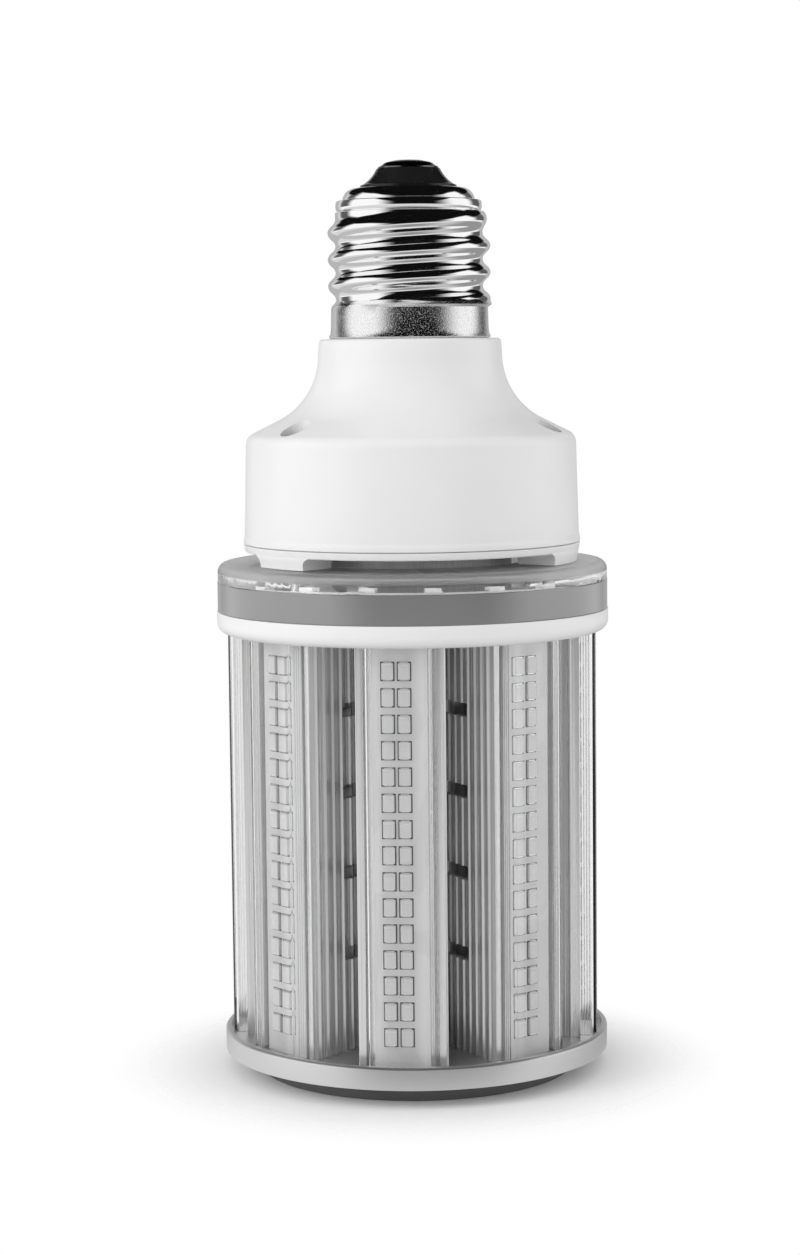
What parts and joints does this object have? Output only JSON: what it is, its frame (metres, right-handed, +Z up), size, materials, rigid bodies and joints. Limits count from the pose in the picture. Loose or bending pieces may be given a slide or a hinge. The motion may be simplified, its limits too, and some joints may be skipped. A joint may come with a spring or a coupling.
{
  "type": "corn led bulb",
  "caption": "Corn LED lamp: screw cap, white driver housing, clear uplight ring, and ribbed aluminium channels with LED strips behind clear covers, round an open core.",
  "frame": {"origin": "on the floor under the lamp's axis, at the middle of the end cap's flat face", "axes": "+Z up the lamp's axis to the screw cap's centre contact, -Y to the front, +X to the front's right"},
  "size_m": [0.095, 0.095, 0.22],
  "materials": {
    "contact_metal": "dark polished",
    "insulator_black": "glossy glazed",
    "shell_nickel": "bright rolled",
    "housing_white": "glossy moulded",
    "collar_white": "satin moulded",
    "carrier_grey": "glossy painted",
    "lens_clear": "clear moulded",
    "cover_clear": "clear extruded",
    "channel_aluminium": "extruded, satin",
    "board_white": "white solder mask",
    "led_body": "frosted",
    "neck_grey": "satin",
    "ring_aluminium": "turned, satin",
    "end_cap_dark": "satin moulded",
    "screw_steel": "zinc plated",
    "driver_green": "solder mask",
    "ferrite_black": "sintered",
    "capacitor_sleeve": "heat-shrunk sleeve",
    "film_yellow": "moulded",
    "lead_red": "insulated",
    "lead_black": "insulated"
  },
  "bodies": {
    "root": {"end_cap": "end_cap_dark", "end_cap_screws": "screw_steel", "base_ring": "ring_aluminium", "strip_screws": "screw_steel", "upper_collar": "collar_white", "carrier_ring": "carrier_grey", "uplight_board": "board_white", "uplight_leds": "led_body", "uplight_lens": "lens_clear", "neck_tube": "neck_grey", "housing_base": "housing_white", "driver_board": "driver_green", "transformer": "ferrite_black", "smoothing_capacitor": "capacitor_sleeve", "filter_choke": "ferrite_black", "film_capacitor": "film_yellow", "driver_housing": "housing_white", "cap_neck": "housing_white", "housing_screws": "screw_steel", "live_lead": "lead_red", "neutral_lead": "lead_black", "output_leads": "lead_red", "screw_shell": "shell_nickel", "cap_insulator": "insulator_black", "centre_contact": "contact_metal", "channel_1": "channel_aluminium", "strip_board_1": "board_white", "strip_leds_1": "led_body", "strip_cover_1": "cover_clear", "channel_2": "channel_aluminium", "strip_board_2": "board_white", "strip_leds_2": "led_body", "strip_cover_2": "cover_clear", "channel_3": "channel_aluminium", "strip_board_3": "board_white", "strip_leds_3": "led_body", "strip_cover_3": "cover_clear", "channel_4": "channel_aluminium", "strip_board_4": "board_white", "strip_leds_4": "led_body", "strip_cover_4": "cover_clear", "channel_5": "channel_aluminium", "strip_board_5": "board_white", "strip_leds_5": "led_body", "strip_cover_5": "cover_clear", "channel_6": "channel_aluminium", "strip_board_6": "board_white", "strip_leds_6": "led_body", "strip_cover_6": "cover_clear", "channel_7": "channel_aluminium", "strip_board_7": "board_white", "strip_leds_7": "led_body", "strip_cover_7": "cover_clear", "channel_8": "channel_aluminium", "strip_board_8": "board_white", "strip_leds_8": "led_body", "strip_cover_8": "cover_clear"}
  },
  "joints": []
}
